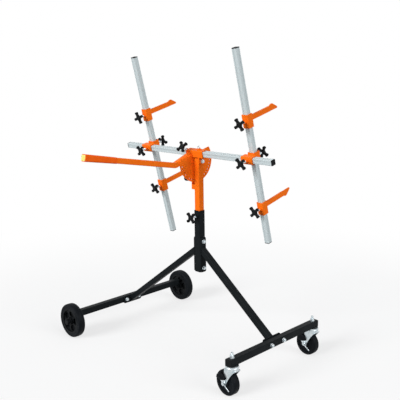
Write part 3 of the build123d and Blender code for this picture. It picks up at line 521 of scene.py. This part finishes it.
pedal_outline = ((0.0385, 0.0140), (0.0176, 0.0085), (-0.0065, 0.0155), (-0.0065, 0.0240),
                 (0.0045, 0.0375), (0.0220, 0.0360), (0.0350, 0.0270))
pedal_across = Matrix.Translation((0.0, 0.0204, 0.0))
pedal_ribs = ((0.0190, -0.003, 0.034), (0.0240, -0.003, 0.033), (0.0290, 0.001, 0.029))
rib_half = 0.0008
rib_across = Matrix.Translation((0.0, 0.0250, 0.0))


def cut_plate(shape, place, outline, thickness, edge):
    """A plate cut to an outline in a place's X and Z, thickened along Y, with softened edges."""
    rim = [shape.verts.new(place @ Vector((along, 0.0, rise))) for along, rise in outline]
    blank = shape.faces.new(rim)
    grown = bmesh.ops.extrude_face_region(shape, geom=[blank], use_keep_orig=True)["geom"]
    far = verts_of(grown)
    bmesh.ops.translate(shape, vec=place.to_3x3().col[1] * thickness, verts=far)
    edges = list({line for vert in rim + far for line in vert.link_edges})
    bmesh.ops.bevel(shape, geom=edges, offset=edge, segments=2, profile=0.5, affect="EDGES",
                    material=-1)


for side in ("left", "right"):
    swivel_place = joint_place(f"{side}_caster_swivel")
    axle_place = joint_place(f"{side}_caster_roll")
    trail = axle_place - swivel_place
    heading = Matrix.Rotation(math.atan2(trail.y, trail.x), 4, "Z")
    stem = Matrix.Translation((swivel_place.x, swivel_place.y, 0.0)) @ heading
    axle = Matrix.Translation(axle_place) @ heading
    wheel = turned_wheel(wheel_half_section, steps=80)
    bmesh.ops.transform(wheel, matrix=axle, verts=wheel.verts)
    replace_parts(set_piece(f"{side}_caster_rubber", wheel, caster_rubber, f"{side}_roller"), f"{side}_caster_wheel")

    race = turned([(reach, 0.0, rise) for reach, rise in race_section], (0, 0, 1),
                  steps=48, closed=True)
    bmesh.ops.transform(race, matrix=stem, verts=race.verts)
    set_piece(f"{side}_ball_race", race, zinc, f"{side}_caster")

    lever = bmesh.new()
    cut_plate(lever, axle @ lever_across, lever_outline, thickness=0.0020, edge=0.0004)
    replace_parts(set_piece(f"{side}_brake_lever", lever, zinc, f"{side}_brake"),
                f"{side}_caster_brake")
    pedal = bmesh.new()
    cut_plate(pedal, axle @ pedal_across, pedal_outline, thickness=0.0050, edge=0.0012)
    for rise, first, last in pedal_ribs:
        rib = ((first, rise - rib_half), (last, rise - rib_half),
               (last, rise + rib_half), (first, rise + rib_half))
        cut_plate(pedal, axle @ rib_across, rib, thickness=0.0014, edge=0.0004)
    set_piece(f"{side}_brake_pedal", pedal, caster_rubber, f"{side}_brake")


# Upper post and index bracket: orange square tube in the mast with a small bracket welded to it,
# in a glossier orange powder coat that the tilting head, clamps and arms share.
orange_coat = powder_coat("orange_powder_coat", (0.92, 0.158, 0.006), (0.96, 0.178, 0.008),
                          shine=0.36, gloss=0.06)
dress(("upper_post", "index_bracket"), orange_coat)
bracket_bead = 0.0034
bracket_foot = 0.021
bracket_low, bracket_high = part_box("index_bracket")
bracket_face = bracket_high.x - 0.0002
foot_top = bracket_low.z + bracket_foot
post_welds = bmesh.new()
weld_frame(post_welds, [(bracket_face, bracket_low.y, bracket_low.z),
                        (bracket_face, bracket_high.y, bracket_low.z),
                        (bracket_face, bracket_high.y, foot_top),
                        (bracket_face, bracket_low.y, foot_top)], bracket_bead)
set_piece("post_welds", post_welds, orange_coat, "post")


# Tilting head: the rail's sleeve with its ear, the index disc and the handle, welded together;
# a ripple of weld follows the top edge of the disc where the handle lies against it.
dress(("tilt_head", "index_disc", "tilt_handle"), orange_coat)
upright_way = joints["left_upright_slide"]["axis"]
lean = math.atan2(-upright_way[1], upright_way[2])
rail_above_pivot = 0.0335
pivot_place = Matrix.Translation(joint_place("head_tilt")) @ Matrix.Rotation(lean, 4, "X")
rail_place = pivot_place @ Matrix.Translation((0.0, 0.0, rail_above_pivot))
head_welds = bmesh.new()
for start, end, width in (((-0.0182, -0.016, 0.0303), (-0.0182, -0.084, 0.0303), 0.0052),
                          ((-0.0148, -0.0152, 0.0190), (-0.0148, -0.0152, 0.0290), 0.0036),
                          ((-0.0148, 0.0152, 0.0190), (-0.0148, 0.0152, 0.0290), 0.0036),
                          ((-0.0202, 0.0152, 0.0190), (-0.0202, 0.0152, 0.0290), 0.0036),
                          ((-0.0148, -0.014, 0.0183), (-0.0148, 0.014, 0.0183), 0.0036),
                          ((-0.0202, -0.014, 0.0183), (-0.0202, 0.014, 0.0183), 0.0036),
                          ((-0.0202, -0.016, 0.0168), (-0.0202, -0.084, 0.0076), 0.0042),
                          ((-0.0415, -0.0152, 0.0185), (-0.0415, -0.0152, 0.0375), 0.0036),
                          ((-0.0205, -0.0152, 0.0395), (-0.0405, -0.0152, 0.0395), 0.0036),
                          ((0.0148, -0.014, 0.0183), (0.0148, 0.014, 0.0183), 0.0034),
                          ((0.0202, -0.014, 0.0183), (0.0202, 0.014, 0.0183), 0.0034)):
    weld_bead(head_welds, pivot_place @ Vector(start), pivot_place @ Vector(end), width)
set_screw_x = 0.015
nut_weld(head_welds, rail_place @ Matrix.Translation((set_screw_x, 0.0, 0.0151)))
set_piece("head_welds", head_welds, orange_coat, "head")
set_screw_length = 0.0108
screw_thread = bmesh.new()
thread(screw_thread, rail_place @ Vector((set_screw_x, 0.0, 0.0215)), pivot_place.to_3x3().col[2],
       bolt_radius, set_screw_length, bolt_pitch, bolt_tooth)
set_piece("set_screw_thread", screw_thread, zinc, "head")


# Handle grip and plug: a soft orange sleeve pushed over the end of the handle tube,
# and a pale yellow moulded plug that closes the tube.
grip_rubber = moulded("grip_rubber", (0.90, 0.115, 0.005), (0.95, 0.135, 0.007),
                      shine=0.55, cell=900.0, depth=0.0002)
pale_plug = moulded("pale_plug", (0.82, 0.72, 0.20), (0.86, 0.77, 0.26),
                    shine=0.45, cell=700.0, depth=0.0001)
dress(("handle_grip",), grip_rubber)
dress(("handle_plug",), pale_plug)


# Aluminium rail and uprights: extruded square tube, pale silver with fine die lines along it,
# held in the sleeves of the head and of the cross clamps.
def drawn_aluminium(name, fine, turn):
    """Anodised extrusion: fine lines along its length and a soft satin shine."""
    material, tree, shader = finish_nodes(name)
    shader.inputs["Metallic"].default_value = 0.1
    lines = grain(tree, 1.0, 2.0, fine, turn)
    silver = two_tone(tree, lines, (0.49, 0.56, 0.575), (0.58, 0.65, 0.665))
    tree.links.new(silver, shader.inputs["Base Color"])
    tree.links.new(spread(tree, lines, 0.34, 0.46), shader.inputs["Roughness"])
    relief(tree, shader, lines, 0.00005, 0.3)
    return material


line_width = 0.0026
line_length = 0.9
leaning = (lean, 0.0, 0.0)
rail_aluminium = drawn_aluminium("rail_aluminium", (line_length, line_width, line_width), leaning)
upright_aluminium = drawn_aluminium("upright_aluminium", (line_width, line_width, line_length),
                                    leaning)
dress(("cross_rail",), rail_aluminium)
dress(("left_upright", "right_upright"), upright_aluminium)


# Cross clamps: two orange sleeves welded at right angles, one for the rail and one for the upright,
# with a bead round the joint and round each weld nut.
dress(("left_cross_clamp", "right_cross_clamp"), orange_coat)
sleeve_bead = 0.0036
for side in ("left", "right"):
    clamp_x = joint_place(f"{side}_rail_knob_turn").x
    clamp_welds = bmesh.new()
    weld_frame(clamp_welds, [rail_place @ Vector((clamp_x + across, 0.0152, rise))
                             for across, rise in ((-0.017, -0.014), (0.017, -0.014),
                                                  (0.017, 0.014), (-0.017, 0.014))], sleeve_bead)
    for nut_y in (-0.0151, 0.0491):
        nut_weld(clamp_welds, rail_place @ Matrix.Translation((clamp_x, nut_y, 0.0)) @ quarter_turn)
    set_piece(f"{side}_clamp_welds", clamp_welds, orange_coat, f"{side}_clamp")


# Panel arms: an orange sleeve on each upright with a flat finger welded on edge to its far face,
# pressed thinner and taller near the tip.
dress(("upper_left_arm", "lower_left_arm", "upper_right_arm", "lower_right_arm"), orange_coat)
for arm in ("upper_left", "lower_left", "upper_right", "lower_right"):
    arm_knob = rail_place.inverted() @ joint_place(f"{arm}_knob_turn")
    arm_x, arm_rise = arm_knob.x, arm_knob.z
    arm_welds = bmesh.new()
    weld_frame(arm_welds, [rail_place @ Vector((arm_x + across, 0.0448, arm_rise + rise))
                           for across, rise in ((-0.0042, -0.004), (0.0042, -0.004),
                                                (0.0042, 0.016), (-0.0042, 0.016))], sleeve_bead)
    nut_weld(arm_welds, rail_place @ Matrix.Translation((arm_x, 0.0144, arm_rise)) @ quarter_turn)
    set_piece(f"{arm}_arm_welds", arm_welds, orange_coat, f"{arm}_arm_slide")


# Clamp knobs: black crosses moulded on threaded zinc screws, with slender arms, rounded lobes,
# a dished middle and a short neck round the screw.
knob_plastic = moulded("knob_plastic", (0.0048, 0.0058, 0.0066), (0.0078, 0.0090, 0.0100),
                       shine=0.38, cell=900.0, depth=0.0001)
knob_arm_steps = ((0.0039, 0.90), (0.0031, 1.14), (0.0025, 1.42), (0.0041, 1.0), (0.0026, 0.58))
knob_thickness = 0.013
knob_standoff = 0.028
knob_middle_radius = 0.0113
knob_rounding = 0.0027


def knob_cross(place):
    """The moulded cross of a knob, before its surface is smoothed."""
    cross = bmesh.new()
    bmesh.ops.create_circle(cross, cap_ends=True, segments=8, radius=knob_middle_radius,
                            matrix=Matrix.Rotation(math.radians(22.5), 4, "Z"))
    middles = {edge: edge.verts[0].co + edge.verts[1].co for edge in cross.edges}
    for root in [edge for edge, middle in middles.items() if abs(middle.x * middle.y) < 1e-7]:
        outward = middles[root].normalized()
        tip = root
        for reach, widen in knob_arm_steps:
            grown = bmesh.ops.extrude_edge_only(cross, edges=[tip])["geom"]
            ends = verts_of(grown)
            tip = next(edge for edge in ends[0].link_edges if edge.other_vert(ends[0]) is ends[1])
            bmesh.ops.translate(cross, vec=outward * reach, verts=ends)
            narrow = (1.0, widen, 1.0) if abs(outward.x) > 0.5 else (widen, 1.0, 1.0)
            bmesh.ops.scale(cross, vec=narrow, verts=ends)
    raised = bmesh.ops.extrude_face_region(cross, geom=cross.faces[:], use_keep_orig=True)["geom"]
    bmesh.ops.translate(cross, vec=(0.0, 0.0, knob_thickness), verts=verts_of(raised))
    bmesh.ops.recalc_face_normals(cross, faces=cross.faces)
    rims = [edge for edge in cross.edges if edge.calc_face_angle(0.0) > 1.2
            and abs(edge.verts[0].co.z - edge.verts[1].co.z) < 1e-5]
    bmesh.ops.bevel(cross, geom=rims, offset=knob_rounding, segments=2, profile=0.5,
                    affect="EDGES", material=-1)
    hub = sorted((face for face in cross.faces if len(face.verts) == 8),
                 key=lambda face: face.calc_center_median().z)
    bmesh.ops.inset_individual(cross, faces=hub[-1:], thickness=0.0030, depth=-0.0013)
    bmesh.ops.inset_individual(cross, faces=hub[:1], thickness=0.0022, depth=0.0)
    bmesh.ops.inset_individual(cross, faces=hub[:1], thickness=0.0008, depth=0.0050)
    bmesh.ops.transform(cross, matrix=place @ Matrix.Translation((0.0, 0.0, knob_standoff)),
                        verts=cross.verts)
    return cross


knob_turns = {"mast": 45.0, "head": 40.0,
              "left_rail": 45.0, "left_upright": 15.0, "right_rail": 42.0, "right_upright": 30.0,
              "upper_left": 20.0, "lower_left": 40.0, "upper_right": 30.0, "lower_right": 42.0}
for knob, turn in knob_turns.items():
    swivel = joints[f"{knob}_knob_turn"]
    clamp_body = swivel["child"]
    outward = Vector(swivel["axis"])
    across = rail_place.to_3x3().col[2] if "upright" in knob else Vector((1.0, 0.0, 0.0))
    seat = Matrix((across, outward.cross(across), outward)).transposed().to_4x4()
    seat.translation = joint_place(f"{knob}_knob_turn")
    cross_shape = knob_cross(seat @ Matrix.Rotation(math.radians(turn), 4, "Z"))
    cross = set_piece(f"{knob}_knob_cross", cross_shape, knob_plastic, clamp_body,
                      sharp=180.0)
    rounding = cross.modifiers.new("rounding", "SUBSURF")
    rounding.levels = 2
    rounding.render_levels = 2
    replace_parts(cross, *frame["record"]["behaviour"]["bodies"][clamp_body])
    screw = bmesh.new()
    thread(screw, seat @ Vector((0.0, 0.0, -0.0020)), outward,
           radius=0.0040, length=0.0330, pitch=bolt_pitch, depth=0.0006)
    set_piece(f"{knob}_knob_screw", screw, zinc, clamp_body)


# Pull knob of the index plunger: a small round knob of the same black plastic,
# screwed on the tail of the pin to draw it back against its spring.
dress(("index_pin_knob",), knob_plastic)
